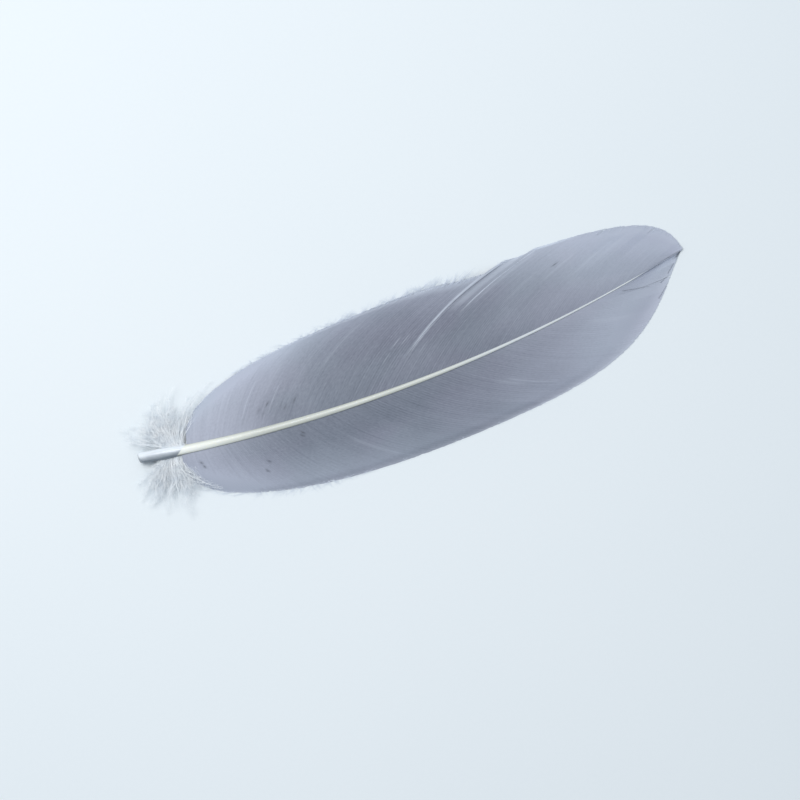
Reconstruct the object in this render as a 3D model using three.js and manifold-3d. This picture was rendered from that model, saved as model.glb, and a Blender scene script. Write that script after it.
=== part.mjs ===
// A goose feather, lying on its own with the back (outer) side up, in millimetres.
//
// The quill end is at -X and the tip at +X, +Z is up, and the origin is at the centre of the
// feather's box, on the surface that it lies on. The shaft is a blunt hollow-looking tube (the
// calamus) that runs on as a tapering, grooved rachis. It is bowed to one side and arched, so
// that the feather stands on its quill end, its tip and the margins of its two vanes. Each vane
// is a thin sheet of barbs that spring from the shaft at about 50 degrees, bend towards the tip
// and droop to the surface. Barbs hold together in locks, and the sheet is notched or split
// between them. Below the vanes the barbs are loose down, one tuft on each side.

import * as THREE from "three";
import { mergeVertices } from "three/addons/utils/BufferGeometryUtils.js";
import Module from "manifold-3d";

const wasm = await Module();
wasm.setup();

// The whole feather
const LENGTH = 175; // quill end to tip, in a straight line
const BOW = 9; // how far the middle of the shaft lies to the narrow vane's side of that line
const ARCH = 9; // how far the middle of the shaft is carried above its ends
const CLEARANCE = 0.12; // between the shaft and what grows from it

// The shaft
const CALAMUS_LENGTH = 13;
const CALAMUS_WIDTH = 3.7;
const RACHIS_WIDTH = 2.95; // at its lower end
const RACHIS_TAPER = 1.3; // how much faster than evenly it narrows at first
const SHAFT_TIP_WIDTH = 0.36;
const SHAFT_END = 172; // the last barbs reach past it
const QUILL_ROUNDING = 1.4; // length of the rounded end of the tube
const GROOVE = 0.42; // depth of the rachis's underside groove, as a share of its half height
const SHAFT_SIDES = 14;
const SHAFT_STATIONS = 28;

// The vanes. Stations are distances from the quill end along the feather's straight line.
const VANE_ROWS = 7; // steps along a barb
const LOCKS = 20; // of barbs, in each vane
const BARB_SPRING = 0.3; // height on the shaft where barbs spring, as a share of its half height
const BARB_DROOP = 1.75; // how late along its length a barb drops to the surface
const VANE_THICKNESS = { root: 0.6, margin: 0.36 };
const LAST_ROOT = 168; // the station of the last barbs
const SPAN = { first: 0.004, last: 0.992 }; // the first and last barb, as shares of the row
const INNER = {
  name: "inner_vane",
  side: 1,
  width: 26.1,
  start: 14.1,
  end: LENGTH + 0.4,
  sweep: 2.4, // how fast barb tips run ahead of their roots
  base: { power: 2.5, rounding: 0.47 }, // the outline's shape towards each end
  tip: { power: 1.7, rounding: 0.37 },
  lean: 0.3, // bend of a barb towards the tip
  spread: 0.65, // how much faster than evenly it first leaves the shaft
  sag: 1.6, // how far the margin is pressed on to the surface at the middle of the vane
  splits: { 4: 0.86, 8: 0.14, 12: 0.8, 16: 0.88 }, // lock number: where the split starts on a barb
};
const OUTER = {
  name: "outer_vane",
  side: -1,
  width: 20.5,
  start: 12,
  end: LENGTH,
  sweep: 1.65,
  base: { power: 3, rounding: 0.35 },
  tip: { power: 4.9, rounding: 1.42 },
  lean: 0.15,
  spread: 0.3,
  sag: 1.4,
  splits: { 3: 0.86, 10: 0.88, 17: 0.7 },
};
const NOTCH = { depth: 0.03, width: 0.1 }; // a shallow notch between two locks, as shares
const SPLIT_WIDTH = 0.2; // a split's half width, as a share of a lock's

// The down
const DOWN_LOCKS = 20; // in each tuft
const INNER_TUFT = {
  name: "inner_down",
  side: 1,
  station: 11.2,
  forward: 95, // the heading of the foremost lock's root, in degrees from the tip's direction
  backward: 126,
  curl: 9, // how far the foremost lock then bends towards the tip, along the vane's edge
};
const OUTER_TUFT = {
  name: "outer_down",
  side: -1,
  station: 9.4,
  forward: 96,
  backward: 126,
  curl: 6,
};
const TUFT_PAD = { length: 4.6, width: 1.5, height: 2 }; // where the locks grow together
const DOWN_LENGTH = { least: 8, most: 17 };
const DOWN_RADIUS = 0.62;
const DOWN_TIP_RADIUS = 0.16;

const COLOURS = { shaft: 0xe8e6da, vane: 0x98a0b3, down: 0xc3cad8 };

const { lerp, clamp, degToRad } = THREE.MathUtils;

// ---------------------------------------------------------------------------------------------
// Shaft

const share = (from, to, x) => clamp((x - from) / (to - from), 0, 1);

// Half the shaft's width and height at a station: a tube with a rounded end, then a taper.
function halfSection(station) {
  const left = (1 - share(CALAMUS_LENGTH, SHAFT_END, station)) ** RACHIS_TAPER;
  const rachis = lerp(SHAFT_TIP_WIDTH, RACHIS_WIDTH, left) / 2;
  const calamus = CALAMUS_WIDTH / 2;
  const blend = THREE.MathUtils.smoothstep(station, 0.6 * CALAMUS_LENGTH, 1.2 * CALAMUS_LENGTH);
  const back = 1 - share(0, QUILL_ROUNDING, station);
  const end = Math.sqrt(1 - 0.75 * back * back);
  const width = lerp(calamus, rachis, blend) * end;
  return { width, height: width * lerp(0.96, 1.12, blend) };
}

// The shaft's middle line, with its sideways and upward directions.
function axisAt(station) {
  const u = station / LENGTH;
  const hump = 4 * u * (1 - u);
  const slope = (4 * (1 - 2 * u)) / LENGTH;
  const point = new THREE.Vector3(station, -BOW * hump, ARCH * hump + halfSection(station).height);
  const along = new THREE.Vector3(1, -BOW * slope, ARCH * slope).normalize();
  const left = new THREE.Vector3(0, 0, 1).cross(along).normalize();
  return { point, left, up: along.clone().cross(left) };
}

// A cylinder whose rings are drawn out along the shaft's line, thin at the tip and grooved below.
function shaftGeometry() {
  const geometry = new THREE.CylinderGeometry(1, 1, 1, SHAFT_SIDES, SHAFT_STATIONS);
  return mapped(geometry, (p) => {
    const along = p.y + 0.5;
    const station = SHAFT_END * lerp(along * along, along, 0.55);
    const { width, height } = halfSection(station);
    const { point, left, up } = axisAt(station);
    const grooved = share(CALAMUS_LENGTH, CALAMUS_LENGTH + 6, station) * share(-0.8, -1, p.z);
    return point
      .addScaledVector(left, -p.x * width)
      .addScaledVector(up, p.z * height * (1 - GROOVE * grooved));
  });
}

// ---------------------------------------------------------------------------------------------
// Vanes

// Moves each vertex of a three.js geometry to where place(vertex) puts it.
function mapped(geometry, place) {
  const { position } = geometry.attributes;
  const vertex = new THREE.Vector3();
  for (let i = 0; i < position.count; i += 1) {
    const to = place(vertex.fromBufferAttribute(position, i));
    position.setXYZ(i, to.x, to.y, to.z);
  }
  geometry.computeVertexNormals();
  return geometry;
}

// A point on a vane: barb is its place in the row (0 at the base, 1 at the tip), t the distance
// along it (0 at the shaft, 1 at the margin) and layer 0.5 on the upper face, -0.5 on the lower.
function vanePoint(vane, barb, t, layer) {
  const root = lerp(vane.start + 0.3, LAST_ROOT, barb);
  const ahead = 1 - (1 - barb) ** vane.sweep;
  const tip = lerp(vane.start, vane.end, ahead);
  const station = lerp(root, tip, t * (1 - vane.lean + vane.lean * t));

  const middle = 2 * ahead - 1;
  const shape = middle < 0 ? vane.base : vane.tip;
  const outline = (1 - Math.abs(middle) ** shape.power) ** shape.rounding;
  const near = halfSection(root).width + CLEARANCE;
  const offset = near + (vane.width - near) * outline * t * (1 + vane.spread * (1 - t));

  const spring = axisAt(root).point.z + BARB_SPRING * halfSection(root).height;
  const margin = lerp(0.9, -vane.sag, Math.sin(Math.PI * barb) ** 0.5);
  const thickness = lerp(VANE_THICKNESS.root, VANE_THICKNESS.margin, t);
  const height = Math.max(lerp(spring, margin, t ** BARB_DROOP), thickness / 2);

  const { point, left } = axisAt(station);
  return new THREE.Vector3(point.x, point.y, height + layer * thickness).addScaledVector(
    left,
    vane.side * offset,
  );
}

// The columns of a vane's sheet: [place in the row, how far the sheet goes out along that barb].
// A lock is three full barbs, and the barb between two locks stops short, which leaves a notch.
function columnsOf(vane) {
  const columns = [];
  for (let lock = 0; lock < LOCKS; lock += 1) {
    const split = vane.splits[lock];
    const next = vane.splits[lock + 1];
    const low = split ? SPLIT_WIDTH : NOTCH.width;
    const high = next ? SPLIT_WIDTH : NOTCH.width;
    if (lock > 0) columns.push([lock, split ?? 1 - NOTCH.depth * (1.3 + Math.sin(2.4 * lock))]);
    columns.push([lock + low, 1], [lock + 0.5, 1.006], [lock + 1 - high, 1]);
  }
  return columns.map(([at, reach]) => [lerp(SPAN.first, SPAN.last, at / LOCKS), reach]);
}

// A subdivided slab laid out over the barbs.
function vaneGeometry(vane) {
  const columns = columnsOf(vane);
  const steps = columns.length - 1;
  const slab = new THREE.BoxGeometry(1, 1, 1, steps, VANE_ROWS, 1);
  return mapped(slab, (p) => {
    const [barb, reach] = columns[Math.round((0.5 + vane.side * p.x) * steps)];
    return vanePoint(vane, barb, (p.y + 0.5) * reach, p.z);
  });
}

// ---------------------------------------------------------------------------------------------
// Down

// A geometry as a manifold-3d solid.
function solidOf(geometry) {
  const bare = geometry.clone();
  bare.deleteAttribute("normal");
  bare.deleteAttribute("uv");
  const { attributes, index } = mergeVertices(bare);
  return new wasm.Manifold(
    new wasm.Mesh({
      numProp: 3,
      vertProperties: attributes.position.array,
      triVerts: new Uint32Array(index.array),
    }),
  );
}

// A manifold-3d solid as a three.js geometry.
function geometryOf(solid) {
  const { vertProperties, triVerts } = solid.getMesh();
  return new THREE.BufferGeometry()
    .setAttribute("position", new THREE.BufferAttribute(vertProperties, 3))
    .setIndex(new THREE.BufferAttribute(triVerts, 1))
    .toNonIndexed();
}

// A tapering, drooping lock of down: a cylinder bent along a curve.
function downLock(curve, radius) {
  const rod = new THREE.CylinderGeometry(DOWN_TIP_RADIUS, radius, 1, 5, 4);
  return mapped(rod, (p) => {
    const t = p.y + 0.5;
    const along = curve.getTangent(t);
    const across = new THREE.Vector3(0, 0, 1).cross(along).normalize();
    const up = along.clone().cross(across);
    return curve.getPoint(t).addScaledVector(across, -p.x).addScaledVector(up, p.z);
  });
}

// The locks fan out from a pad at the shaft's side, and are fused with it.
function tuftGeometry(tuft) {
  const { point, left } = axisAt(tuft.station);
  const out = left.clone().multiplyScalar(tuft.side);
  const half = TUFT_PAD.width / 2;
  const middle = point
    .clone()
    .addScaledVector(out, halfSection(tuft.station).width + CLEARANCE + half);
  const pad = new THREE.SphereGeometry(0.5, 10, 6)
    .scale(TUFT_PAD.length, TUFT_PAD.width, TUFT_PAD.height)
    .rotateZ(Math.atan2(-left.x, left.y))
    .translate(middle.x, middle.y, middle.z);
  let fused = solidOf(pad);
  for (let lock = 0; lock < DOWN_LOCKS; lock += 1) {
    const turn = lock / (DOWN_LOCKS - 1);
    const vary = (lock * 0.618) % 1;
    const heading = degToRad(lerp(tuft.forward, tuft.backward, turn));
    const full = 0.35 * Math.sin(Math.PI * turn) + 0.65 * vary;
    const length = lerp(DOWN_LENGTH.least, DOWN_LENGTH.most, full);
    const root = middle.clone();
    root.x += lerp(0.38, -0.38, turn) * TUFT_PAD.length;
    const reach = (far, height) =>
      new THREE.Vector3(
        root.x + far * Math.cos(heading),
        root.y + tuft.side * far * Math.sin(heading),
        height,
      );
    const curl = tuft.curl * (1 - turn) ** 1.5 + Math.sin(5 * lock);
    const curve = new THREE.QuadraticBezierCurve3(
      root,
      reach(0.55 * length, lerp(2.6, 4.6, vary)),
      reach(length, lerp(0.7, 2.6, (lock * 0.37) % 1)).add(new THREE.Vector3(curl, 0, 0)),
    );
    fused = fused.add(solidOf(downLock(curve, DOWN_RADIUS)));
  }
  // The outer skin alone, without the small hollows that crossing locks shut in.
  const skins = fused.decompose().sort((a, b) => b.volume() - a.volume());
  return geometryOf(skins[0]);
}

// ---------------------------------------------------------------------------------------------
// The feather

const feather = new THREE.Group();

function grow(name, geometry, colour, roughness) {
  const material = new THREE.MeshStandardMaterial({ color: colour, roughness, metalness: 0 });
  const mesh = new THREE.Mesh(geometry, material);
  mesh.name = name;
  feather.add(mesh);
}

grow("shaft", shaftGeometry(), COLOURS.shaft, 0.35);
for (const vane of [INNER, OUTER]) grow(vane.name, vaneGeometry(vane), COLOURS.vane, 0.55);
for (const tuft of [INNER_TUFT, OUTER_TUFT]) grow(tuft.name, tuftGeometry(tuft), COLOURS.down, 0.9);

// The origin goes to the centre of the feather's box, on the surface below it.
const box = new THREE.Box3().setFromObject(feather);
const centre = box.getCenter(new THREE.Vector3());
feather.position.set(-centre.x, -centre.y, -box.min.z);

export default feather;
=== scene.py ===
"""A smoke-grey goose feather, lying with its back up on a pale table."""

import math

import bpy
import numpy as np
from mathutils import Matrix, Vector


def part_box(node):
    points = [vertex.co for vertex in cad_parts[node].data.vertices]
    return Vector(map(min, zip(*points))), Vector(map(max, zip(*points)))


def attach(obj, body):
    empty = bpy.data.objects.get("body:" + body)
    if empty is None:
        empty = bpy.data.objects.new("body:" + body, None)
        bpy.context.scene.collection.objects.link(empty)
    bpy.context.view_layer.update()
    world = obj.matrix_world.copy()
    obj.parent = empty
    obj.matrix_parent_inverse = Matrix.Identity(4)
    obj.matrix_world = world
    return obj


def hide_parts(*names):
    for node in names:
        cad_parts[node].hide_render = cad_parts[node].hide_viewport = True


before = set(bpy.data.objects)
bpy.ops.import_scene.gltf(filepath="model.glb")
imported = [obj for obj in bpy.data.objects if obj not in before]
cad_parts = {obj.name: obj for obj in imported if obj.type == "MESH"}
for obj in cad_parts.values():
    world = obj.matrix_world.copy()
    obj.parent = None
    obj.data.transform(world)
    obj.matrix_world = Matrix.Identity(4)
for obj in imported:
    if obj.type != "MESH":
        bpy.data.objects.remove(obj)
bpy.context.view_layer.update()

MM = 0.001

# ---------------------------------------------------------------------------------------------
# The shaft: one keratin tube, drawn out into a rachis. The bare calamus is glossy, grey and
# half clear, with a healed pit in its blunt end. The rachis is filled with cream pith, convex
# on its back and sunk along its belly, and it bows to one side and arches.

LENGTH = 175 * MM
BOW = 9 * MM
ARCH = 9 * MM
CALAMUS_LENGTH = 13 * MM
CALAMUS_WIDTH = 3.7 * MM
CALAMUS_ENDS = 0.94  # their share of its width, which swells by another tenth midway
CALAMUS_SWELL = 0.1
CALAMUS_DEPTH = 0.96  # its height over its width
RACHIS_WIDTH = 2.95 * MM
RACHIS_DEPTH = 1.12
RACHIS_TAPER = 1.3
SHAFT_END = 172 * MM
SHAFT_TIP_WIDTH = 0.28 * MM
PIT_RIM = 0.35 * MM
PIT_DEPTH = 0.7 * MM
PIT_TAPER = 0.6
GROOVE_RIM = 0.1 * MM
GROOVE_DEPTH = 0.2 * MM
GROOVE_END = 0.72 * LENGTH
BELLY = -0.86  # faces that point further down than this are the belly

# The middle of the quill's end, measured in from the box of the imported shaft
END_INSET = 0.253 * MM
SIDE_INSET = 1.083 * MM
shaft_low, shaft_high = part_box("shaft")
QUILL_X = shaft_low[0] + END_INSET
QUILL_Y = shaft_high[1] - SIDE_INSET


def smooth(low, high, x):
    """0 below low, 1 above high, and eased in between."""
    t = np.clip((x - low) / (high - low), 0, 1)
    return t * t * (3 - 2 * t)


def shaft_half(station):
    """Half the shaft's width and height at a distance from the quill end."""
    left = 1 - np.clip((station - CALAMUS_LENGTH) / (SHAFT_END - CALAMUS_LENGTH), 0, 1)
    rachis = (SHAFT_TIP_WIDTH + (RACHIS_WIDTH - SHAFT_TIP_WIDTH) * left**RACHIS_TAPER) / 2
    swell = np.sin(np.pi * np.clip(station / CALAMUS_LENGTH, 0, 1))
    calamus = CALAMUS_WIDTH / 2 * (CALAMUS_ENDS + CALAMUS_SWELL * swell)
    blend = smooth(0.6 * CALAMUS_LENGTH, 1.2 * CALAMUS_LENGTH, station)
    width = calamus + (rachis - calamus) * blend
    return width, width * (CALAMUS_DEPTH + (RACHIS_DEPTH - CALAMUS_DEPTH) * blend)


def shaft_centre(station):
    """The shaft's middle line: X, Y, Z arrays."""
    u = station / LENGTH
    hump = 4 * u * (1 - u)
    return QUILL_X + station, QUILL_Y - BOW * hump, ARCH * hump + shaft_half(station)[1]


def clear_selection():
    """Leaves edit mode and deselects everything."""
    if bpy.context.object and bpy.context.object.mode != "OBJECT":
        bpy.ops.object.mode_set(mode="OBJECT")
    bpy.ops.object.select_all(action="DESELECT")


def select_faces(mesh, wanted):
    """Selects the faces that a test picks, with the object in edit mode."""
    bpy.ops.mesh.select_all(action="DESELECT")
    bpy.ops.object.mode_set(mode="OBJECT")
    for face in mesh.polygons:
        face.select = wanted(face)
    bpy.ops.object.mode_set(mode="EDIT")


clear_selection()
bpy.ops.mesh.primitive_circle_add(
    vertices=20, radius=1, fill_type="NGON", rotation=(0, math.pi / 2, 0)
)
shaft = bpy.context.object
shaft.name = "feather_shaft"
bpy.ops.object.transform_apply(location=False, rotation=True, scale=True)
bpy.ops.object.mode_set(mode="EDIT")
bpy.ops.mesh.select_mode(type="FACE")
bpy.ops.mesh.select_all(action="SELECT")

# the rings that the tube is drawn out through, each with its share of the full width there: the
# rounded end, the calamus, and then evenly along the rachis
rings = [(0.05 * MM, 0.62), (0.16 * MM, 0.82), (0.45 * MM, 0.93), (1.1 * MM, 0.98)]
rings += [(station * MM, 1) for station in (2.2, 4, 6, 8, 10, 12, 14)]
rings += [(station * MM, 1) for station in np.linspace(17, 172, 52)]
size = (1.0, 1.0)
place = np.zeros(3)
for number, (station, fullness) in enumerate(rings):
    centre = np.array(shaft_centre(station))
    half = np.array(shaft_half(station)) * fullness
    if number:
        bpy.ops.mesh.extrude_region_move(TRANSFORM_OT_translate={"value": centre - place})
    else:
        bpy.ops.transform.translate(value=centre)
    bpy.ops.transform.resize(
        value=(1, half[0] / size[0], half[1] / size[1]), center_override=centre
    )
    size, place = half, centre
bpy.ops.mesh.select_all(action="SELECT")
bpy.ops.mesh.normals_make_consistent(inside=False)

# the small healed pit in the quill's end
select_faces(shaft.data, lambda face: len(face.vertices) > 4 and face.center.x < QUILL_X + MM)
bpy.ops.mesh.inset(thickness=PIT_RIM, depth=0)
bpy.ops.mesh.extrude_region_move(TRANSFORM_OT_translate={"value": (PIT_DEPTH, 0, 0)})
bpy.ops.transform.resize(
    value=(1, PIT_TAPER, PIT_TAPER), center_override=shaft_centre(PIT_DEPTH + 0.1 * MM)
)

# the groove along the belly of the rachis
select_faces(
    shaft.data,
    lambda face: face.normal.z < BELLY
    and QUILL_X + CALAMUS_LENGTH + MM < face.center.x < QUILL_X + GROOVE_END,
)
bpy.ops.mesh.inset(thickness=GROOVE_RIM, depth=-GROOVE_DEPTH)
bpy.ops.object.mode_set(mode="OBJECT")
rounding = shaft.modifiers.new("rounding", "SUBSURF")
rounding.levels = rounding.render_levels = 1
bpy.ops.object.modifier_apply(modifier="rounding")
bpy.ops.object.shade_smooth_by_angle(angle=math.radians(50))


class Wire:
    """An output of a material's node, so that shader maths reads as plain Python."""

    def __init__(self, tree, socket=None):
        self.tree = tree
        self.socket = socket

    def add(self, kind, settings=(), inputs=(), output=0):
        """Adds a node: its settings are made first, then the values and links of its sockets."""
        node = self.tree.nodes.new(kind)
        for name, value in dict(settings).items():
            setattr(node, name, value)
        for name, value in dict(inputs).items():
            if isinstance(value, Wire):
                self.tree.links.new(value.socket, node.inputs[name])
            else:
                node.inputs[name].default_value = value
        return Wire(self.tree, node.outputs[output])

    def other(self, output):
        """Another output of the same node."""
        return Wire(self.tree, self.socket.node.outputs[output])

    def maths(self, operation, *values):
        return self.add("ShaderNodeMath", {"operation": operation}, dict(enumerate(values)))

    def __add__(self, other):
        return self.maths("ADD", self, other)

    def __sub__(self, other):
        return self.maths("SUBTRACT", self, other)

    def __rsub__(self, other):
        return self.maths("SUBTRACT", other, self)

    def __mul__(self, other):
        return self.maths("MULTIPLY", self, other)

    def between(self, low, high, kind="SMOOTHSTEP"):
        """0 below low, 1 above high, and eased in between."""
        return self.add(
            "ShaderNodeMapRange",
            {"interpolation_type": kind},
            {"Value": self, "From Min": low, "From Max": high},
        )

    def blend(self, first, second):
        """Two colours mixed by this value."""
        colours = {0: self, 6: first, 7: second}
        return self.add("ShaderNodeMix", {"data_type": "RGBA"}, colours, 2)

    def noise(self, place, stretch, detail=3, roughness=0.5):
        """Noise with its own number of lumps per unit along each axis."""
        stretched = self.add("ShaderNodeMapping", {}, {"Vector": place, "Scale": stretch})
        inputs = {"Vector": stretched, "Scale": 1, "Detail": detail, "Roughness": roughness}
        return self.add("ShaderNodeTexNoise", {}, inputs)


def new_finish(name):
    """An empty material: it, its wire and its Principled shader."""
    material = bpy.data.materials.new(name)
    material.use_nodes = True
    return material, Wire(material.node_tree), material.node_tree.nodes["Principled BSDF"]


def connect(shader, **inputs):
    """Links wires to a shader's sockets, and sets the others to plain values."""
    for name, value in inputs.items():
        socket = shader.inputs[name.replace("_", " ")]
        if isinstance(value, Wire):
            value.tree.links.new(value.socket, socket)
        else:
            socket.default_value = value


# Millimetres from the quill end over which the blunt end's grey clears, the pith starts, and the
# rachis dulls, brightens again, cools and greys
END_CLEARS = (0.6, 1.5)
PITH_STARTS = (13.4, 14)
DULLS = (14, 42)
BRIGHTENS = (138, 150)
COOLS = (80, 125)
GREYS = (155, 164)
PITH_SLANT = 1.2
WANDER = 1.2 * MM  # how far the patches move where the pith starts and the end clears
# the cream colours go on the rachis's flanks: partly the pith's own cream, partly painted shade
# on its rounded sides
PITH_CREAM_AND_SHADE = (0.72, 0.735, 0.64, 1)
PITH_PALE = (0.94, 0.96, 0.91, 1)
PITH_DULL = (0.54, 0.555, 0.49, 1)
PITH_DULL_PALE = (0.69, 0.715, 0.675, 1)
PITH_COOL = (0.70, 0.75, 0.82, 1)
# painted shadow: the dark line along the rachis's outer flank
PITH_PAINTED_SHADOW = (0.14, 0.15, 0.15, 1)
PITH_END = (0.34, 0.38, 0.46, 1)
# the calamus's painted light and shade: grey on its shaded flank, pale on its lit one
HORN_SHADED_GREY = (0.19, 0.225, 0.265, 1)
HORN_LIT_PALE = (0.86, 0.91, 0.97, 1)
HORN_END = (0.34, 0.37, 0.40, 1)

keratin, wire, shader = new_finish("quill_keratin")
place = wire.add("ShaderNodeTexCoord", output=3)
along = wire.add("ShaderNodeSeparateXYZ", inputs={0: place})
across = along.other(1)
# the grain follows the bowed shaft: how far along it, to its side, and above its ends
share = (along - QUILL_X) * (1 / LENGTH)
hump = share * (1 - share) * 4
beside = across - QUILL_Y + hump * BOW
above = along.other(2) - hump * ARCH
grain = wire.add("ShaderNodeCombineXYZ", {}, {0: along, 1: beside, 2: above})


def grows(first, last, place=along):
    """0 before one distance from the quill end, in millimetres, and 1 after another."""
    return place.between(QUILL_X + first * MM, QUILL_X + last * MM)


fibres = wire.noise(grain, (35, 1300, 1300), 4)
patches = wire.noise(grain, (160, 420, 420))
# -1 at the shaft's outer flank, 1 at its inner one
left = 1 - along.between(QUILL_X + CALAMUS_LENGTH, QUILL_X + SHAFT_END, "LINEAR")
taper = left.maths("POWER", left, RACHIS_TAPER)
flank = beside.maths("DIVIDE", beside, taper * (RACHIS_WIDTH / 2) + SHAFT_TIP_WIDTH / 2)
# the rachis is painted creamier and darker towards both flanks: partly the pith's own cream,
# partly painted shade where its rounded sides turn from the light
flank_cream_and_shade = flank.maths("ABSOLUTE", flank).between(0.35, 0.95) * 0.55
dull = grows(*DULLS) * (1 - grows(*BRIGHTENS) * 0.7)
pith = (fibres.between(0.35, 0.75) * 0.5 + flank_cream_and_shade).blend(
    dull.blend(PITH_PALE, PITH_DULL_PALE), dull.blend(PITH_CREAM_AND_SHADE, PITH_DULL)
)
pith = (grows(*COOLS) * 0.6).blend(pith, PITH_COOL)
# painted shadow: a dark line along the rachis's outer flank, the side away from the lamp
painted_shadow_line = (fibres * 0.2 - flank).between(0.78, 0.98) * 0.85
# painted light and shade: the calamus is painted paler along its inner flank, towards the lamp,
# and greyer along its outer one, over its own fibres and patches
horn_lit_and_shaded = flank * 0.72 + (fibres - 0.5) * 0.5 + (patches - 0.5) * 0.6 + 0.55
horn_lit_and_shaded = horn_lit_and_shaded.between(0, 0.9, "LINEAR").blend(HORN_SHADED_GREY, HORN_LIT_PALE)
# the pith starts on a slant
wander = patches * WANDER
filled = grows(*PITH_STARTS, along - beside * PITH_SLANT + wander)
old_end = grows(*END_CLEARS, along + wander)
connect(
    shader,
    Base_Color=filled.blend(
        old_end.blend(HORN_END, horn_lit_and_shaded),
        grows(*GREYS).blend(painted_shadow_line.blend(pith, PITH_PAINTED_SHADOW), PITH_END),
    ),
    Roughness=filled * 0.14 + fibres * 0.12 + 0.22,
    Coat_Weight=0.3 - filled * 0.2,
    Normal=wire.add(
        "ShaderNodeBump", inputs={"Strength": 0.25, "Distance": 0.06 * MM, "Height": fibres}
    ),
    Subsurface_Weight=0.15,
    Subsurface_Radius=(1, 0.9, 0.7),
    Subsurface_Scale=1 * MM,
)
shaft.data.materials.clear()
shaft.data.materials.append(keratin)
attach(shaft, "root")
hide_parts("shaft")

# ---------------------------------------------------------------------------------------------
# The vanes: 300 barbs a side, each a fine keratin rib that hooks on to the next and bends towards
# the tip. They spring from the shaft's flanks and droop to the table. Their joints come undone a
# little at the margin and far in at the splits, and loose pale barbules stand out beyond it.

VANE_BARBS = 300
VANE_ROWS = 34
ROW_CROWDING = 1.2  # the rows of the mesh crowd towards the margin
BARB_THICKNESS = 0.12 * MM
BARB_RELIEF = 0.05 * MM
BARB_HALF_WIDTH = 0.46  # of the space from barb to barb
END_NARROWING = 0.35
ROOT_GAP = 0.3 * MM
LAST_ROOT = 168 * MM
SPAN = (0.004, 0.998)  # the part of the row, from 0 to 1, that has barbs
LOCKS = 20
LOCK_LIFT = 0.2 * MM
LOCK_NOTCH = 0.008
FLANK = 0.85  # how far out on the shaft the barbs spring from, and how high
FLANK_HEIGHT = 0.3
MARGIN_HEIGHT = 0.9 * MM
DROOP = 1.75
TABLE_GAP = 0.1 * MM
SOFT_LANDING = 0.35 * MM
JOINED_TO = 0.998
FRINGE_UNDONE = 0.05
TIP_UNDONE = 0.1
BASE_UNDONE = 0.3
FRINGE_LONGER = 0.02
PAST_STEP = 0.3  # barbs past the step are still this share of its depth short, up to a place
PAST_STEP_TO = 0.44
OPENING_FADES = 11  # the barbs over which a split's opening fades, and its turned edge
TURN_FADES = 4
CREASE_FADES = 0.12
CREASE_LIFT = 0.08 * MM
# painted shade: alternate barbs painted paler and darker, standing in for barbs that lie higher
# and lower
RELIEF_SHADE = 0.6  # how much barbs are paler and darker by turns, and the stations where that starts
STREAK_STARTS = (50, 95)
TIP_STARTS = (125, 165)
FLECK_STRENGTH = 1.4
FLECK_LENGTHENING = 1.7

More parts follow.
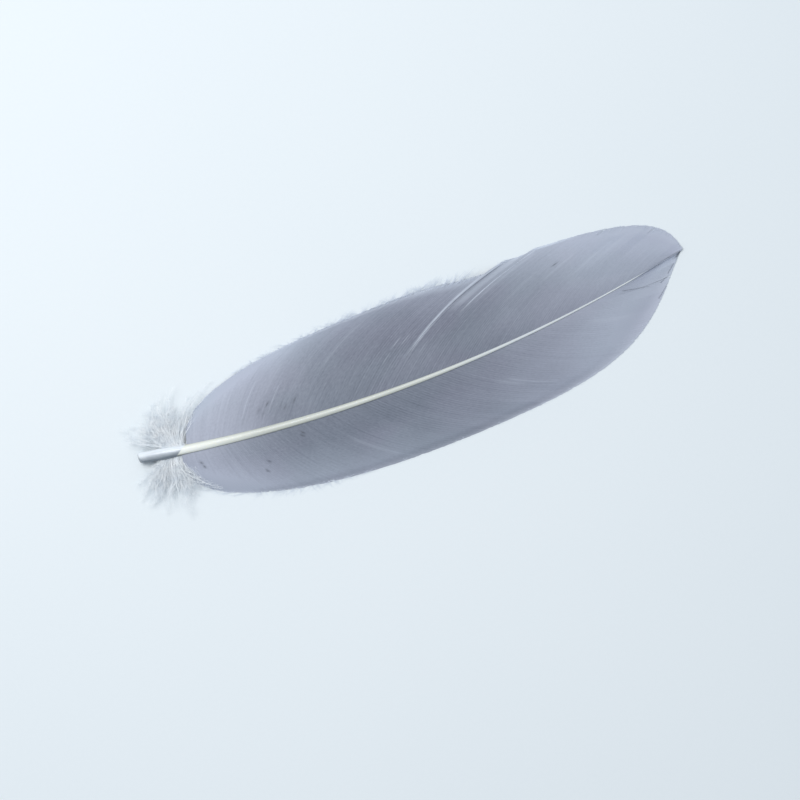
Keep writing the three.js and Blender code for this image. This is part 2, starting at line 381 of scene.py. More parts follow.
# A vane runs along the shaft from its start to its end. Sweep is how far its barbs' tips run
# ahead of their roots. Base and tip are the power and the rounding of its outline's two halves.
# Lean and spread bend a barb forwards and outwards, and sag lowers the margin.
# What follows is given by the place in the row of barbs and by t, the distance out along a barb,
# each from 0 to 1, and by stations in millimetres from the quill end.
# A split: its place, the t where it starts, how many barbs' widths it opens (below zero its edges
# overlap), how far its lower edge turns up in millimetres, how pale that edge and the upper one
# are painted, a painted highlight where they catch the light, and how many barbs wide the
# painted highlight on the fold between them grows.
# A crease: its place, the t where it starts and ends, how pale it is, and its width in barbs.
# The base and tip fades: the stations over which the pale base darkens and the tip pales, partly
# the vane's own tone and partly painted light.
# The edge light, painted light: how much paler the outer half is everywhere, and at the base, and
# the stations where the second fades. Margin dark, painted shadow: how much darker the last of
# each barb is.
# The dip and the root dip, painted shadow on the outer half and painted shade beside the shaft on
# the inner half: how much darker these are round one station, which one, and how far to each
# side.
# The tip light, painted light: how much paler the outer half is near the tip.
# The fringe: where in the row it rises, is full, falls and is gone, and its number of hairs.
# The rim: the t from which the margin is paler, how pale it is, and the fringe's share of that.
# The bright rim, a painted highlight along the margin: its middle and width along the row, and
# how pale it is.
# The step: where barbs begin to be worn shorter, where that ends, and by how much.
# The strands: dark strands near the tip, painted shadow for the shadowed gaps between frayed and
# split barbs, from one place and t to another.
INNER = dict(
    name="feather_inner_vane",
    node="inner_vane",
    side=1,
    width=26.1 * MM,
    start=14.1 * MM,
    end=LENGTH + 0.4 * MM,
    sweep=2.4,
    base=(2.5, 0.47),
    tip=(1.7, 0.37),
    lean=0.3,
    spread=0.65,
    sag=1.6 * MM,
    splits=[
        (0.405, 0.18, -0.5, 0.5, 0.62, 0.5, 2.4),
        (0.453, 0.42, -0.2, 0.25, 0.1, 1.0, 0.3),
        (0.215, 0.93, 0.7, 0.2, 0.2, 0.1, 0.5),
        (0.61, 0.93, 0.7, 0.2, 0.2, 0.1, 0.5),
        (0.80, 0.92, 0.8, 0.2, 0.2, 0.1, 0.5),
    ],
    creases=[
        (0.355, 0.33, 0.50, 0.50, 0.6), (0.372, 0.34, 0.50, 0.45, 0.6),
        (0.358, 0.20, 0.36, 0.30, 0.6), (0.431, 0.18, 0.32, 0.30, 0.6),
        (0.428, 0.52, 1.10, 0.27, 4.5), (0.470, 0.50, 0.96, 0.15, 2.0),
        (0.155, 0.07, 0.38, 0.16, 0.7), (0.105, 0.05, 0.50, 0.15, 0.8),
        (0.135, 0.20, 0.62, 0.08, 1.2), (0.225, 0.30, 0.80, 0.08, 1.5),
        (0.698, 0.48, 0.92, 0.16, 2.2), (0.724, 0.55, 0.95, 0.10, 2.0),
        (0.616, 0.50, 0.85, 0.10, 2.0), (0.560, 0.40, 0.75, 0.08, 2.0),
    ],
    base_fade=(22, 62),
    tip_fade=(104, 172),
    edge_painted_light=(0, 0.66, 34, 92),
    margin_painted_shadow=0,
    dip=(0.24, 88, 24),
    root_shade_dip=(0.35, 42, 9),
    tip_painted_light=0,
    fringe=(0.01, 0.08, 0.34, 0.42, 330),
    rim=(0.86, 0.62, 0.65),
    rim_highlight=(0.475, 0.045, 0.8),
    step=(0.20, 0.395, 0.14),
    shadow_strands=(),
    seed=5,
)
OUTER = dict(
    name="feather_outer_vane",
    node="outer_vane",
    side=-1,
    width=20.5 * MM,
    start=12 * MM,
    end=LENGTH,
    sweep=1.65,
    base=(3, 0.35),
    tip=(4.9, 1.42),
    lean=0.15,
    spread=0.3,
    sag=1.4 * MM,
    splits=[
        (0.16, 0.93, 0.7, 0.2, 0.2, 0.1, 0.5),
        (0.51, 0.95, 0.6, 0.2, 0.2, 0.1, 0.5),
        (0.853, 0.28, 0.35, 0.12, 0.0, 0.0, 0.0),
        (0.93, 0.88, 0.4, 0.2, 0.0, 0.0, 0.0),
        (0.96, 0.86, 0.4, 0.2, 0.0, 0.0, 0.0),
    ],
    creases=[
        (0.556, 0.34, 0.82, 0.26, 0.55), (0.545, 0.30, 0.60, 0.12, 2.0),
        (0.08, 0.15, 0.70, 0.12, 1.0), (0.27, 0.30, 0.90, 0.10, 1.5),
        (0.76, 0.30, 0.80, 0.12, 2.0),
    ],
    base_fade=(14, 50),
    tip_fade=(89, 164),
    edge_painted_light=(0.17, 0.4, 40, 110),
    margin_painted_shadow=0.5,
    dip=(0, 88, 24),
    root_shade_dip=(0.12, 36, 7),
    tip_painted_light=0.42,
    fringe=(0.0, 0.03, 0.12, 0.22, 130),
    rim=(0.95, 0.1, 0.3),
    rim_highlight=(0.52, 0.16, 0.3),
    step=(0, 0, 0),
    # painted shadow: dark strands for the shadowed gaps between frayed and split barbs
    shadow_strands=(
        (0.935, 0.93, 0.985, 0.99), (0.915, 0.94, 0.955, 0.98), (0.885, 0.955, 0.935, 0.99),
        (0.895, 0.965, 0.965, 1.0), (0.868, 0.94, 0.900, 0.97), (0.843, 0.89, 0.862, 0.965),
        (0.790, 0.965, 0.832, 0.995), (0.868, 0.28, 0.846, 0.745),
        (0.910, 0.975, 0.955, 1.005), (0.920, 0.955, 0.970, 0.990), (0.940, 0.975, 0.990, 1.01),
        (0.900, 0.950, 0.935, 0.975),
    ),
    seed=11,
)

# Small dark flecks caught in the barbs: their places in millimetres along and across from the
# quill end, and their radii
FLECKS = [
    (38.9, -0.3, 0.52), (39.7, -1.6, 0.44), (42.1, 1.0, 0.42), (33.4, -1.2, 0.44),
    (45.7, -1.1, 0.42), (46.5, -2.1, 0.42), (47.2, -2.6, 0.44), (47.6, -4.1, 0.40),
    (49.7, -1.2, 0.52), (48.9, -10.7, 0.38), (48.6, -11.7, 0.50), (36.4, -15.0, 0.50),
    (35.0, -17.5, 0.46), (17.5, -8.2, 0.46), (17.9, -9.6, 0.40), (137.1, 9.3, 0.50),
]


def barb_points(vane, barb, t):
    """Points on a vane and their stations, for places in the row of barbs and t along them."""
    barb = SPAN[0] + (SPAN[1] - SPAN[0]) * np.clip(barb, 0, 1)
    root = vane["start"] + ROOT_GAP + (LAST_ROOT - vane["start"] - ROOT_GAP) * barb
    ahead = 1 - (1 - barb) ** vane["sweep"]
    tip = vane["start"] + (vane["end"] - vane["start"]) * ahead
    station = root + (tip - root) * t * (1 - vane["lean"] + vane["lean"] * t)

    middle = 2 * ahead - 1
    power = np.where(middle < 0, vane["base"][0], vane["tip"][0])
    rounding = np.where(middle < 0, vane["base"][1], vane["tip"][1])
    outline = np.clip(1 - np.abs(middle) ** power, 0, 1) ** rounding
    # beyond the shaft's end the two vanes close up
    flank = shaft_half(root)[0] * FLANK * (1 - 1.2 * t * smooth(0.88, 0.97, barb))
    offset = flank + (vane["width"] - flank) * outline * t * (1 + vane["spread"] * (1 - t))

    spring = shaft_centre(root)[2] + FLANK_HEIGHT * shaft_half(root)[1]
    margin = MARGIN_HEIGHT - (MARGIN_HEIGHT + vane["sag"]) * np.sin(np.pi * barb) ** 0.5
    x, y, _ = shaft_centre(station)
    slope = -BOW * 4 * (1 - 2 * station / LENGTH) / LENGTH
    length = np.sqrt(1 + slope**2)
    sideways = vane["side"] * offset
    height = spring + (margin - spring) * np.clip(t, 0, 1.1) ** DROOP
    return x - sideways * slope / length, y + sideways / length, height, station


HAIR_STEPS = np.linspace(0, 1, 5)[None, :]
HAIR_RADIUS = (0.05 * MM, 0.018 * MM)
HAIRS_IN_FRINGE = 0.8  # their share, and the others are anywhere along the vane
HAIR_ROOTS = (0.95, 0.985)
HAIR_BEYOND = (0.005, 0.095)  # how far past the margin hairs reach, and more in the fringe
HAIR_SWERVE = (-2.2, 2.0)  # how many barbs they swerve along the row, and how unevenly
HAIR_FLOOR = 0.2 * MM
STRAND_LIFT = 0.2 * MM


def mix(ends, share):
    """A value between two ends."""
    return ends[0] + (ends[1] - ends[0]) * share


def bump(x, at, width):
    """1 at one place, falling away on both sides of it."""
    return np.exp(-(((x - at) / width) ** 2))


def unit(vectors):
    """The same directions at length 1."""
    return vectors / np.maximum(np.linalg.norm(vectors, axis=-1, keepdims=True), 1e-12)


def hair_mesh(paths, radii):
    """Points and faces of closed three-sided hairs, for paths of shape (hairs, steps, 3)."""
    hairs, steps, _ = paths.shape
    tangent = unit(np.gradient(paths, axis=1))
    side = unit(np.cross(tangent, np.array([0.13, 0.21, 1.0])))
    up = np.cross(tangent, side)
    rim = [
        paths + radii[..., None] * (math.cos(angle) * side + math.sin(angle) * up)
        for angle in (math.pi / 2, math.pi * 7 / 6, math.pi * 11 / 6)
    ]
    points = np.stack(rim, 2).reshape(-1, 3)
    first = (np.arange(hairs) * steps * 3)[:, None, None]
    step = (np.arange(steps - 1) * 3)[None, :, None]
    edge = np.arange(3)[None, None, :]
    after = (edge + 1) % 3
    base = first + step
    walls = np.stack([base + edge, base + after, base + 3 + after, base + 3 + edge], -1)
    start = first[:, 0] + np.array([[2, 1, 0]])
    end = first[:, 0] + (steps - 1) * 3 + np.array([[0, 1, 2]])
    return points, walls.reshape(-1, 4).tolist() + start.tolist() + end.tolist()


def make_vane(vane):
    """One vane: a grid with three columns of points to a barb, bent to shape and given a wall."""
    rng = np.random.default_rng(vane["seed"])
    clear_selection()
    bpy.ops.mesh.primitive_grid_add(
        x_subdivisions=3 * VANE_BARBS - 1, y_subdivisions=VANE_ROWS, size=1
    )
    piece = bpy.context.object
    piece.name = vane["name"]
    mesh = piece.data
    co = np.empty(3 * len(mesh.vertices))
    mesh.vertices.foreach_get("co", co)
    co = co.reshape(-1, 3)
    column = np.rint((co[:, 0] + 0.5) * (3 * VANE_BARBS - 1)).astype(int)
    row = np.rint((co[:, 1] + 0.5) * VANE_ROWS).astype(int)
    number, part = column // 3, column % 3
    v = 1 - (1 - row / VANE_ROWS) ** ROW_CROWDING

    # where each joint between two barbs comes undone: short of the margin, further in along the
    # fringe, and furthest at both ends of the row
    share = np.arange(VANE_BARBS + 1) / VANE_BARBS
    fringe_from, fringe_full, fringe_falls, fringe_to, hairs = vane["fringe"]
    fringe = smooth(fringe_from, fringe_full, share)
    fringe *= 1 - smooth(fringe_falls, fringe_to, share)
    undone = JOINED_TO - np.abs(rng.normal(0, 0.006, VANE_BARBS + 1))
    undone -= FRINGE_UNDONE * fringe * rng.random(VANE_BARBS + 1)
    undone -= TIP_UNDONE * smooth(0.95, 1, share) * rng.random(VANE_BARBS + 1)
    undone -= BASE_UNDONE * (1 - smooth(0, 0.04, share)) * rng.random(VANE_BARBS + 1)

    # how far each point moves along the row, in barbs, and upwards, and how pale it is: a paler
    # rim, and painted highlights on the splits' edges and along the margin, and painted light
    # near the tip
    shift = np.zeros(len(co))
    lift = np.zeros(len(co))
    rim_from, rim_paleness, rim_fringe = vane["rim"]
    pale = rim_paleness * smooth(rim_from, 1, v) * (1 - rim_fringe + rim_fringe * fringe[number])
    # a painted highlight along the margin round one place
    middle, width, paleness = vane["rim_highlight"]
    bright = bump(share[:-1], middle, width)
    pale += paleness * bright[number] * smooth(0.965, 0.985, v)
    for at, start, opening, turn_up, lower_highlight, upper_highlight, fold in vane["splits"]:
        joint = int(round(at * VANE_BARBS))
        undone[joint] = start
        distance = number + 0.5 - joint
        apart = np.clip((v - start) / (1 - start), 0, 1)
        fading = np.exp(-np.abs(distance) / OPENING_FADES)
        shift += np.sign(distance) * opening / 2 * apart**1.15 * fading
        turned = np.where(distance < 0, 1, -0.25) * np.exp(-np.abs(distance) / TURN_FADES)
        lift += turn_up * MM * turned * apart**0.6
        wide = fold * smooth(0.15, 0.9, apart)
        begun = smooth(0, 0.22, v - start)
        # painted highlight: the split's lower edge, its upper edge and the fold between them
        # painted pale where they catch the light
        pale += lower_highlight * bump(distance, -0.5 - wide, 0.9) * begun
        pale += upper_highlight * bump(distance, 0.6, 0.7) * begun
        inside = (distance < 0) & (distance > -wide)
        pale += 0.45 * lower_highlight * inside * begun
    # painted light: the outer half paler near the tip
    pale += vane["tip_painted_light"] * smooth(0.45, 0.8, v) * smooth(0.76, 0.92, share[number])
    for at, start, end, paleness, width in vane["creases"]:
        distance = number + 0.5 - at * VANE_BARBS
        window = smooth(start, start + CREASE_FADES, v)
        window *= 1 - smooth(end - CREASE_FADES, end, v)
        pale += paleness * bump(distance, 0, width) * window
        lift += CREASE_LIFT * bump(distance, 0, 1.5) * window * (width < 1)
    locks = rng.normal(0, 1, LOCKS + 2)
    lock_at = np.linspace(0, 1, LOCKS + 2)
    lift += LOCK_LIFT * np.interp(number / VANE_BARBS, lock_at, locks) * v**3
    shift += 0.2 * rng.normal(0, 1, VANE_BARBS)[number] * smooth(0.95, 1, v)

    # each barb: a left edge, a rib and a right edge, which close in at its loose end
    def closing(start):
        """A barb's half width, where one of its joints is undone from a place on it."""
        start = np.clip(start, 0.9, 0.985)
        return BARB_HALF_WIDTH * (1 - END_NARROWING * smooth(0, 1, (v - start) / (1 - start)))

    edges = [-closing(undone[number]), closing(undone[number + 1])]
    cell = np.select([part == 0, part == 2], edges, 0)
    reach = 1 + 0.002 * rng.normal(0, 1, VANE_BARBS)
    reach += FRINGE_LONGER * (fringe[:-1] + (share[:-1] < 0.04)) * rng.random(VANE_BARBS) ** 2
    phase = share[:-1] * LOCKS % 1
    reach -= LOCK_NOTCH * bump(phase, 0.5, 0.1) * rng.random(VANE_BARBS)
    # the barbs below the long split are worn shorter, and step up to it
    step_from, step_to, step_depth = vane["step"]
    if step_depth:
        stepped = smooth(step_from, step_to, share[:-1])
        reach -= step_depth * stepped * (share[:-1] < step_to)
        past = (share[:-1] >= step_to) & (share[:-1] < PAST_STEP_TO)
        reach -= PAST_STEP * step_depth * past
    t = v * reach[number]
    x, y, z, station = barb_points(vane, (number + 0.5 + cell + shift) / VANE_BARBS, t)
    # a barb eases down on to the table, and never through it
    floor = BARB_THICKNESS + TABLE_GAP
    above = SOFT_LANDING * np.logaddexp(0, (z + lift - floor) / SOFT_LANDING)
    z = BARB_THICKNESS + above
    z += np.where(part == 1, BARB_RELIEF, 0)
    mesh.vertices.foreach_set("co", np.stack([x, y, z], 1).ravel())

    # what the colour follows: painted highlights on turned edges and paler loose tips, a few dark
    # flecks, the paler ends of the vane, partly its own tone and partly painted light, painted
    # light and shade across it, and each barb's own tone, with painted shade on alternate barbs
    fleck_and_shadow = np.zeros(len(co))
    for at_x, at_y, radius in FLECKS:
        off_x, off_y = (x - QUILL_X) / MM - at_x, vane["side"] * ((y - QUILL_Y) / MM - at_y)
        away = np.hypot((off_x + off_y) / FLECK_LENGTHENING, off_x - off_y)
        fleck_and_shadow += FLECK_STRENGTH * bump(away, 0, radius) * rng.uniform(0.4, 1, len(co))
    station = station / MM
    # the pale base and the paler tip: partly the vane's own tone, partly painted light
    light = 1 - smooth(*vane["base_fade"], station) + smooth(*vane["tip_fade"], station)
    everywhere, at_base, base_from, base_to = vane["edge_painted_light"]
    # painted light: the outer half of each barb paler everywhere, and more so at the base
    light += everywhere * smooth(0.2, 0.5, v)
    light += at_base * smooth(0.25, 0.8, v) * (1 - smooth(base_from, base_to, station))
    # painted shadow: the last of each barb darker
    light -= vane["margin_painted_shadow"] * smooth(0.8, 0.97, v)
    # painted shadow: the outer half darker round one station
    depth, *where = vane["dip"]
    window = smooth(0.15, 0.45, v) * (1 - 0.6 * smooth(0.65, 0.95, v))
    light -= depth * bump(station, *where) * window
    # painted shade: the barbs darker beside the shaft round one station
    depth, *where = vane["root_shade_dip"]
    light -= depth * bump(station, *where) * (1 - smooth(0.08, 0.4, v))
    # painted light: paler near the tip
    light += 0.15 * vane["tip_painted_light"] * smooth(*TIP_STARTS, station)
    # painted shade: alternate barbs paler and darker, for barbs lying higher and lower
    painted_relief_shade = np.where(number % 2, RELIEF_SHADE, -RELIEF_SHADE) * smooth(*STREAK_STARTS, station)
    own = rng.normal(0, 0.4, VANE_BARBS)[number] + painted_relief_shade
    looks = dict(pale=np.clip(pale, 0, 1), fleck_and_shadow=np.clip(fleck_and_shadow, 0, 1), light=light, own=own)
    for name, values in looks.items():
        mesh.attributes.new(name, "FLOAT", "POINT").data.foreach_set("value", values)

    # undo the joints: the faces between two barbs go, from where their joint is undone
    corner = np.empty(len(mesh.loops), dtype=np.int32)
    mesh.loops.foreach_get("vertex_index", corner)
    corner = corner.reshape(-1, 4)
    face_column = column[corner].min(1)
    loose_from = undone[np.minimum(face_column // 3 + 1, VANE_BARBS)]
    open_face = (face_column % 3 == 2) & (v[corner].min(1) >= loose_from - 1e-6)
    bpy.ops.object.mode_set(mode="EDIT")
    bpy.ops.mesh.select_mode(type="FACE")
    bpy.ops.mesh.select_all(action="DESELECT")
    bpy.ops.object.mode_set(mode="OBJECT")
    mesh.polygons.foreach_set("select", open_face)
    bpy.ops.object.mode_set(mode="EDIT")
    bpy.ops.mesh.delete(type="FACE")
    if vane["side"] < 0:
        bpy.ops.mesh.select_all(action="SELECT")
        bpy.ops.mesh.flip_normals()
    bpy.ops.object.mode_set(mode="OBJECT")
    wall = piece.modifiers.new("wall", "SOLIDIFY")
    wall.thickness = BARB_THICKNESS
    wall.offset = -1
    bpy.ops.object.modifier_apply(modifier="wall")
    bpy.ops.object.shade_smooth_by_angle(angle=math.radians(55))

    # loose barbules, which run on from the barbs and stand out beyond the margin
    at = fringe_from + (fringe_to - fringe_from) * rng.beta(1.3, 1.3, hairs)
    at = np.where(rng.random(hairs) < HAIRS_IN_FRINGE, at, rng.uniform(0.02, 0.97, hairs))
    thick = np.interp(at, share, fringe)
    beyond = 1 + (HAIR_BEYOND[0] + HAIR_BEYOND[1] * thick) * rng.random(hairs) ** 1.6
    reach_at = np.interp(at * VANE_BARBS, np.arange(VANE_BARBS) + 0.5, reach)
    rooted = rng.uniform(*HAIR_ROOTS, hairs)
    out = rooted[:, None] * (1 - HAIR_STEPS) + beyond[:, None] * HAIR_STEPS
    swerve = rng.normal(*HAIR_SWERVE, hairs)[:, None] * HAIR_STEPS**1.5
    at = at[:, None] + swerve / VANE_BARBS
    out = out * reach_at[:, None]

    # after the hairs, in the same arrays, the dark strands, which are painted shadow
    shadow_ends = np.array(vane["shadow_strands"]).reshape(-1, 4, 1)
    at = np.concatenate([at, shadow_ends[:, 0] + (shadow_ends[:, 2] - shadow_ends[:, 0]) * HAIR_STEPS])
    out = np.concatenate([out, shadow_ends[:, 1] + (shadow_ends[:, 3] - shadow_ends[:, 1]) * HAIR_STEPS])
    strand = np.arange(len(at)) >= hairs
    x, y, z, _ = barb_points(vane, at, out)
    stand = MM * rng.uniform(0.1, 0.3 + 1.5 * np.append(thick, np.zeros(len(shadow_ends))))
    y += vane["side"] * np.where(strand, 0, stand)[:, None] * HAIR_STEPS**1.4
    raised = MM * (0.12 + 0.5 * rng.random((len(at), 1)) * HAIR_STEPS**2)
    z = np.maximum(z, HAIR_FLOOR) + np.where(strand[:, None], STRAND_LIFT, raised)
    radii = np.broadcast_to(mix(HAIR_RADIUS, HAIR_STEPS), x.shape)
    points, faces = hair_mesh(np.stack([x, y, z], -1), radii)
    shadow_mark = np.repeat(strand, HAIR_STEPS.size * 3).astype(float)
    fine = bpy.data.meshes.new("loose_barbules")
    fine.from_pydata(points.tolist(), [], faces)
    # the dark strands take the flecks' dark colour, as painted shadow
    for name, values in dict(pale=1 - shadow_mark, fleck_and_shadow=shadow_mark).items():
        fine.attributes.new(name, "FLOAT", "POINT").data.foreach_set("value", values)
    loose = bpy.data.objects.new("loose_barbules", fine)
    bpy.context.collection.objects.link(loose)
    clear_selection()
    loose.select_set(True)
    piece.select_set(True)
    bpy.context.view_layer.objects.active = piece
    bpy.ops.object.join()
    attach(piece, "root")
    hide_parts(vane["node"])
    return piece


inner_vane = make_vane(INNER)
outer_vane = make_vane(OUTER)

SLATE_DARK = (0.151, 0.173, 0.222, 1)
LILAC_DARK = (0.161, 0.173, 0.228, 1)
SLATE_PALE = (0.466, 0.510, 0.606, 1)
LILAC_PALE = (0.474, 0.506, 0.611, 1)
# the pale of rims and loose barbules, and of painted highlights
EDGE_PALE = (0.70, 0.76, 0.86, 1)
# dark for the flecks, and for the strands, which are painted shadow
FLECK_AND_SHADOW_DARK = (0.06, 0.07, 0.09, 1)

barbs, wire, shader = new_finish("grey_barbs")
uv = wire.add("ShaderNodeTexCoord", output=2)
out_along = wire.add("ShaderNodeSeparateXYZ", inputs={0: uv}, output=1)
place = wire.add("ShaderNodeTexCoord", output=3)


def look(name):
    """A value that make_vane wrote on the points."""
    return wire.add("ShaderNodeAttribute", {"attribute_name": name}, output=2)


streaks = wire.noise(uv, (240, 7, 1), 4, 0.65)
clouds = wire.noise(place, (55, 55, 55), 4)
tint = wire.noise(place, (38, 60, 60), 2).between(0.35, 0.65)
hooks = wire.noise(uv, (300, 45, 1), 2)
# painted light and shade: the barbs painted paler out towards the margin and darker near the
# shaft
tone = look("light") * 0.75 + out_along.between(0.05, 0.95, "LINEAR") * 0.26
tone = tone + out_along.between(0.4, 0.95) * 0.24
tone = tone + (streaks - 0.5) * 0.24 + (clouds - 0.5) * 0.34 + (hooks - 0.5) * 0.4
# each barb's own tone, with painted shade on alternate barbs
tone = tone + look("own") * 0.07 - 0.06
smoke = tint.blend(SLATE_DARK, LILAC_DARK), tint.blend(SLATE_PALE, LILAC_PALE)
colour = tone.between(-0.2, 1, "LINEAR").blend(*smoke)
# paler rims and loose barbules, with painted highlights on turned edges and along the margin, and
# painted light near the tip
colour = (look("pale") * 0.9).blend(colour, EDGE_PALE)
# dark flecks, and the dark strands as painted shadow
colour = (look("fleck_and_shadow") * 0.75).blend(colour, FLECK_AND_SHADOW_DARK)
connect(
    shader,
    Base_Color=colour,
    Roughness=0.62 - tone * 0.1,
    Normal=wire.add(
        "ShaderNodeBump", inputs={"Strength": 0.3, "Distance": 0.03 * MM, "Height": hooks}
    ),
    Sheen_Weight=0.25,
    Sheen_Roughness=0.4,
    Sheen_Tint=(0.85, 0.9, 1, 1),
)
for piece in (inner_vane, outer_vane):
    piece.data.materials.clear()
    piece.data.materials.append(barbs)

# ---------------------------------------------------------------------------------------------
# The down: below the vanes the barbs are limp and hook on to nothing. Each is a soft rib with
# long loose barbules all along it, and they fan out from the shaft's flanks in two tufts, the
# foremost curling along the vane's edge.

DOWN_LOCKS = 20
RIBS_PER_LOCK = 5
RIB_STEPS = 18
BARBULES_PER_RIB = 42
RIB_RADIUS = (0.11 * MM, 0.04 * MM)
BARBULE_RADIUS = (0.037 * MM, 0.014 * MM)
BARBULE_LENGTH = 2.8 * MM
DOWN_LENGTH = (8 * MM, 17 * MM)
DOWN_SPREAD = 2.9 * MM  # how far to each side of a tuft's station its ribs spring from
DOWN_FLANK = 0.8
RIB_MIDDLE_HEIGHT = (2.6 * MM, 4.6 * MM)
RIB_END_HEIGHT = (0.7 * MM, 2.6 * MM)
RIB_FLOOR = 0.25 * MM
BARBULE_FLOOR = 0.06 * MM
RIB_WANDER = 2.2 * MM
RIB_SWING = 1.3 * MM
RIB_RIPPLE = 0.45 * MM
DOWN_WHITE = (0.95, 0.975, 1, 1)
DOWN_GREY = (0.82, 0.87, 0.92, 1)

# A tuft: the station of its middle, its first and last ribs' headings in degrees from the tip's
# side, and how far its foremost ribs curl on along the vane.
INNER_TUFT = dict(
    name="feather_inner_down", node="inner_down", side=1, station=11.4 * MM,
    headings=(90, 132), curl=10 * MM, seed=3,
)
OUTER_TUFT = dict(
    name="feather_outer_down", node="outer_down", side=-1, station=9.8 * MM,
    headings=(92, 136), curl=7.5 * MM, seed=8,
)


def make_tuft(tuft):
    """One tuft: ribs in locks that fan out from the shaft, and barbules all along each rib."""
    rng = np.random.default_rng(tuft["seed"])
    side = tuft["side"]
    ribs = DOWN_LOCKS * RIBS_PER_LOCK
    lock = np.repeat(np.arange(DOWN_LOCKS), RIBS_PER_LOCK)
    turn = lock / (DOWN_LOCKS - 1)
    vary = lock * 0.618 % 1
    full = 0.35 * np.sin(np.pi * turn) + 0.65 * vary
    length = mix(DOWN_LENGTH, full)
    length *= rng.uniform(0.6, 1.15, ribs)
    heading = np.radians(tuft["headings"][0] + np.ptp(tuft["headings"]) * turn)
    heading += np.radians(rng.normal(0, 12, ribs))
    station = tuft["station"] + DOWN_SPREAD * (1 - 2 * turn) + rng.normal(0, 0.3 * MM, ribs)
    x, y, z = shaft_centre(station)
    root = np.stack([x, y + side * shaft_half(station)[0] * DOWN_FLANK, z], 1)
    root[:, 2] += rng.uniform(-0.7, 0.3, ribs) * MM
    out = np.stack([np.cos(heading), side * np.sin(heading), np.zeros(ribs)], 1)

    # each rib rises to a middle point, and comes down to its last near the table
    control = root + out * (0.55 * length)[:, None]
    control[:, 2] = mix(RIB_MIDDLE_HEIGHT, vary) + rng.normal(0, 0.6 * MM, ribs)
    last = root + out * length[:, None]
    last[:, 2] = mix(RIB_END_HEIGHT, lock * 0.37 % 1) + rng.normal(0, 0.5 * MM, ribs)
    last[:, 2] = np.maximum(last[:, 2], RIB_FLOOR)
    last[:, 0] += tuft["curl"] * (1 - turn) ** 1.5 + MM * np.sin(5 * lock)
    last[:, 0] += rng.normal(0, RIB_WANDER, ribs)
    swing = rng.normal(0, RIB_SWING, ribs)[:, None]
    ripple = rng.normal(0, RIB_RIPPLE, ribs)[:, None]
    phase = rng.uniform(0, 2 * np.pi, ribs)[:, None]

    def along(t):
        """Points at t along each rib: a quadratic curve with a slight wave in it."""
        t = np.broadcast_to(t, (ribs, t.shape[-1]))
        curve = (1 - t[..., None]) ** 2 * root[:, None] + t[..., None] ** 2 * last[:, None]
        curve = curve + 2 * (t * (1 - t))[..., None] * control[:, None]
        wave = t * (swing * np.sin(6 * t + phase) + ripple * np.sin(17 * t + 2 * phase))
        curve[..., 0] += wave * side * out[:, None, 1]
        curve[..., 1] -= wave * side * out[:, None, 0]
        return curve

    t = np.linspace(0, 1, RIB_STEPS)[None, :]
    points, faces = hair_mesh(along(t), mix(RIB_RADIUS, np.repeat(t, ribs, 0)))

    # barbules spring from both flanks of the ribs by turns, and lean towards their tips
    at = (np.arange(BARBULES_PER_RIB) + 0.5)[None, :] / BARBULES_PER_RIB * 0.96 + 0.03
    at = at + rng.normal(0, 0.004, (ribs, BARBULES_PER_RIB))
    foot = along(at)
    ahead = unit(along(at + 0.02) - foot)
    flank = unit(np.cross(ahead, np.array([0, 0, 1.0])))
    above = np.cross(flank, ahead)
    around = np.where(np.arange(BARBULES_PER_RIB) % 2, 0, np.pi)[None, :]
    around = around + rng.normal(0, 0.75, (ribs, BARBULES_PER_RIB))
    outward = np.cos(around)[..., None] * flank + np.sin(around)[..., None] * above
    long = BARBULE_LENGTH * (0.35 + 0.65 * np.sin(np.pi * np.clip(at, 0, 1)) ** 0.7)
    long = long * rng.uniform(0.5, 1.1, long.shape)
    lean = rng.uniform(0.5, 1.7, long.shape)[..., None]
    middle = foot + 0.5 * long[..., None] * unit(outward + 0.6 * lean * ahead)
    tip = foot + long[..., None] * unit(outward + 1.5 * lean * ahead)
    tip[..., 2] -= 0.1 * long
    fine = np.stack([foot, middle, tip], 2).reshape(-1, 3, 3)
    fine[..., 2] = np.maximum(fine[..., 2], BARBULE_FLOOR)
    taper = np.broadcast_to(mix(BARBULE_RADIUS, np.array([0, 0.5, 1])), fine.shape[:2])
    more_points, more_faces = hair_mesh(fine, taper)
    faces += [[corner + len(points) for corner in face] for face in more_faces]

    mesh = bpy.data.meshes.new(tuft["name"])
    mesh.from_pydata(np.concatenate([points, more_points]).tolist(), [], faces)
    piece = bpy.data.objects.new(tuft["name"], mesh)
    bpy.context.collection.objects.link(piece)
    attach(piece, "root")
    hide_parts(tuft["node"])
    return piece


inner_down = make_tuft(INNER_TUFT)
outer_down = make_tuft(OUTER_TUFT)

fluff, wire, shader = new_finish("pale_down")
place = wire.add("ShaderNodeTexCoord", output=3)
clouds = wire.noise(place, (400, 400, 400))
connect(
    shader,
    Base_Color=clouds.between(0.3, 0.7).blend(DOWN_GREY, DOWN_WHITE),
    Roughness=0.8,
    Sheen_Weight=0.2,
)
for piece in (inner_down, outer_down):
    piece.data.materials.append(fluff)

# ---------------------------------------------------------------------------------------------
# The table: plain, matt and pale. It isn't part of the feather.

TABLE_SIZE = 3
TABLE_GREY = (0.80, 0.86, 0.90, 1)
TABLE_PALE = (0.86, 0.905, 0.935, 1)

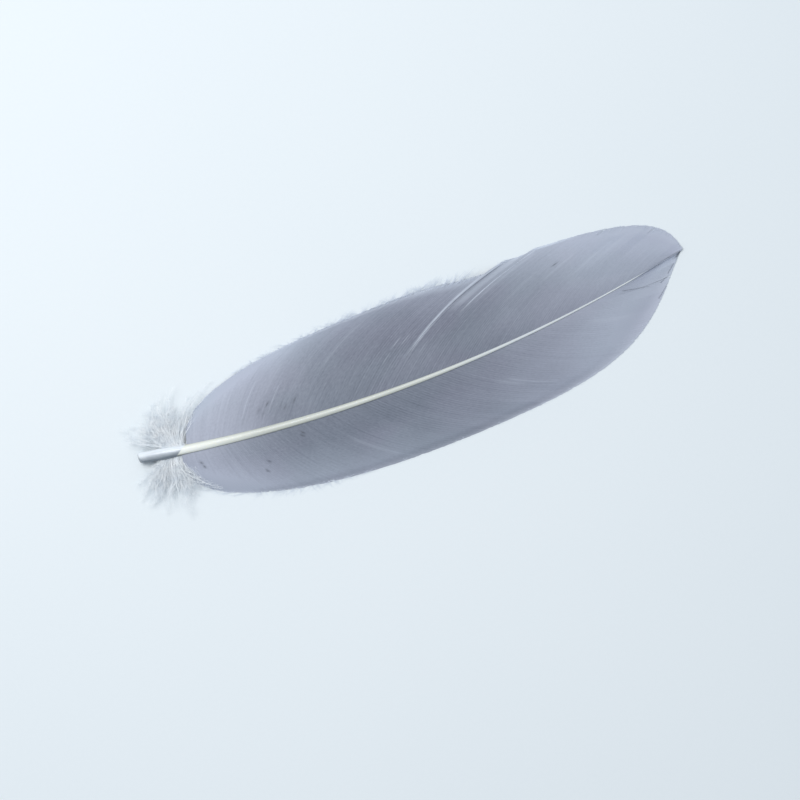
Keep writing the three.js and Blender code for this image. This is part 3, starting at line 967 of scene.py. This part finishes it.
clear_selection()
bpy.ops.mesh.primitive_plane_add(size=TABLE_SIZE)
table = bpy.context.object
table.name = "table"
paper, wire, shader = new_finish("pale_table")
place = wire.add("ShaderNodeTexCoord", output=3)
grain = wire.noise(place, (900, 900, 900))
broad = wire.noise(place, (5, 5, 5), 2)
connect(
    shader,
    Base_Color=(broad * 0.7 + grain * 0.3).blend(TABLE_GREY, TABLE_PALE),
    Roughness=0.6,
)
table.data.materials.append(paper)

# ---------------------------------------------------------------------------------------------
# Light: one broad soft lamp beyond the feather's far side, and pale surroundings.

SURROUNDINGS = (0.86, 0.93, 1, 1)
SURROUNDINGS_STRENGTH = 0.55
WINDOW_PLACE = np.array([-0.18, 0.33, 0.74])
WINDOW_SIZE = 0.5
WINDOW_POWER = 3.9
WINDOW_COLOUR = (1, 0.99, 0.97)

world = bpy.data.worlds.new("studio")
bpy.context.scene.world = world
world.use_nodes = True
background = world.node_tree.nodes["Background"]
background.inputs["Color"].default_value = SURROUNDINGS
background.inputs["Strength"].default_value = SURROUNDINGS_STRENGTH

clear_selection()
bpy.ops.object.light_add(type="AREA", location=WINDOW_PLACE)
window = bpy.context.object
window.name = "window"
window.data.size = WINDOW_SIZE
window.data.energy = WINDOW_POWER
window.data.color = WINDOW_COLOUR
# it faces the feather's middle
x, y, z = WINDOW_PLACE
window.rotation_euler = (math.atan2(math.hypot(x, y), z), 0, math.atan2(-y, -x) - math.pi / 2)

# ---------------------------------------------------------------------------------------------
# The camera looks almost straight down, with the feather lying aslant in the frame.

CHORD_TILT = math.radians(21.129)
ELEVATION = math.radians(87)
LENS = 80
DISTANCE = 0.5302
AIM = np.array([-0.00804, -0.00578, 0.004])

camera_data = bpy.data.cameras.new("camera")
camera_data.lens = LENS
camera = bpy.data.objects.new("camera", camera_data)
bpy.context.collection.objects.link(camera)
right = np.array([math.cos(CHORD_TILT), -math.sin(CHORD_TILT), 0])
away = np.array([math.sin(CHORD_TILT), math.cos(CHORD_TILT), 0])
back = np.array([0, 0, 1]) * math.sin(ELEVATION) - away * math.cos(ELEVATION)
top = np.cross(back, right)
pose = np.eye(4)
pose[:3] = np.stack([right, top, back, AIM + back * DISTANCE], 1)
camera.matrix_world = Matrix(pose.tolist())
bpy.context.scene.camera = camera
bpy.context.scene.view_settings.view_transform = "Standard"
